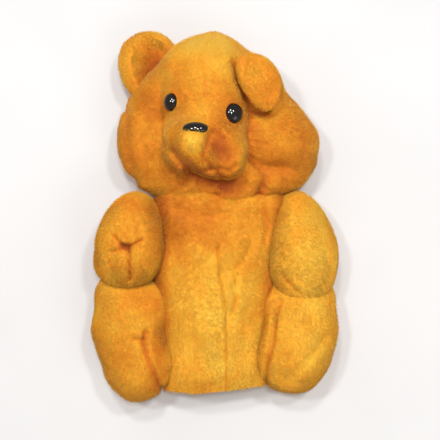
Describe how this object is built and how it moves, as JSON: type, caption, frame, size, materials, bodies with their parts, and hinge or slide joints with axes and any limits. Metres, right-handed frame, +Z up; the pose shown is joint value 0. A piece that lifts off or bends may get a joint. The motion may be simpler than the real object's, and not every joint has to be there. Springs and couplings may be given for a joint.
{
  "type": "hand puppet",
  "caption": "Plush bear hand puppet lying on its back: open glove body, stuffed head with muzzle and folding ears, sleeves with curling paws, stuffed legs.",
  "frame": {"origin": "under the middle of the puppet's box, on the surface that it lies on", "axes": "+Z up from the surface, out of the belly; +Y from the hand opening to the crown of the head; +X towards the bear's left hand"},
  "size_m": [0.2206, 0.3284, 0.1039],
  "materials": {
    "plush": "short dense plush pile",
    "lining": "plain woven lining",
    "filling": "loose polyester fibre",
    "black_plastic": "polished",
    "washer_plastic": "moulded"
  },
  "bodies": {
    "torso": {"back_panel": "plush", "belly_panel_left": "plush", "belly_panel_right": "plush", "glove_lining": "lining", "hem_facing": "lining"},
    "collar": {"neck_collar": "plush"},
    "gusset": {"neck_gusset": "plush"},
    "head": {"head_back_panel": "plush", "face_panel_left": "plush", "face_panel_right": "plush", "head_filling": "filling", "finger_tube": "lining", "muzzle_upper_panel": "plush", "chin_panel": "plush", "muzzle_filling": "filling", "nose": "black_plastic", "nose_washer": "washer_plastic", "eye_left": "black_plastic", "eye_left_washer": "washer_plastic", "eye_right": "black_plastic", "eye_right_washer": "washer_plastic"},
    "ear_left": {"ear_left_front": "plush", "ear_left_back": "plush"},
    "ear_right": {"ear_right_front": "plush", "ear_right_back": "plush"},
    "arm_left": {"sleeve_left": "plush"},
    "arm_right": {"sleeve_right": "plush"},
    "paw_left": {"paw_left": "plush", "paw_left_filling": "filling"},
    "paw_right": {"paw_right": "plush", "paw_right_filling": "filling"},
    "leg_left": {"leg_left_front": "plush", "leg_left_back": "plush", "leg_left_filling": "filling"},
    "leg_right": {"leg_right_front": "plush", "leg_right_back": "plush", "leg_right_filling": "filling"}
  },
  "joints": [
    {"name": "head_tilt", "type": "hinge", "parent": "torso", "child": "collar", "pos_m": [0, -0.0015, 0.025], "axis": [0, 0, 1], "range_deg": [-12, 12]},
    {"name": "head_turn", "type": "hinge", "parent": "collar", "child": "gusset", "pos_m": [0, 0.0048, 0.025], "axis": [0, 1, 0], "range_deg": [-30, 30]},
    {"name": "head_nod", "type": "hinge", "parent": "gusset", "child": "head", "pos_m": [0, 0.013, 0.025], "axis": [1, 0, 0], "range_deg": [-20, 25]},
    {"name": "ear_left_fold", "type": "hinge", "parent": "head", "child": "ear_left", "pos_m": [0.058, 0.13, 0.044], "axis": [-0.5368, 0.8437, 0], "range_deg": [0, 75]},
    {"name": "ear_right_fold", "type": "hinge", "parent": "head", "child": "ear_right", "pos_m": [-0.0631, 0.137, 0.0294], "axis": [0.7641, 0.6451, 0], "range_deg": [-10, 75], "stiffness_Nm_per_rad": 0.02},
    {"name": "shoulder_left", "type": "hinge", "parent": "torso", "child": "arm_left", "pos_m": [0.0512, -0.022, 0.024], "axis": [-1, 0, 0], "range_deg": [-8, 90]},
    {"name": "shoulder_right", "type": "hinge", "parent": "torso", "child": "arm_right", "pos_m": [-0.0512, -0.022, 0.024], "axis": [-1, 0, 0], "range_deg": [-25, 12]},
    {"name": "paw_left_curl", "type": "hinge", "parent": "arm_left", "child": "paw_left", "pos_m": [0.081, -0.0395, 0.027], "axis": [-1, 0, 0], "range_deg": [-4, 28], "stiffness_Nm_per_rad": 0.03},
    {"name": "paw_right_curl", "type": "hinge", "parent": "arm_right", "child": "paw_right", "pos_m": [-0.081, -0.023, 0.0395], "axis": [-1, 0, 0], "range_deg": [-4, 28], "stiffness_Nm_per_rad": 0.03},
    {"name": "hip_left", "type": "hinge", "parent": "torso", "child": "leg_left", "pos_m": [0.051, -0.103, 0.029], "axis": [-1, 0, 0], "range_deg": [-10, 75]},
    {"name": "hip_right", "type": "hinge", "parent": "torso", "child": "leg_right", "pos_m": [-0.051, -0.096, 0.029], "axis": [-1, 0, 0], "range_deg": [-10, 75]}
  ]
}
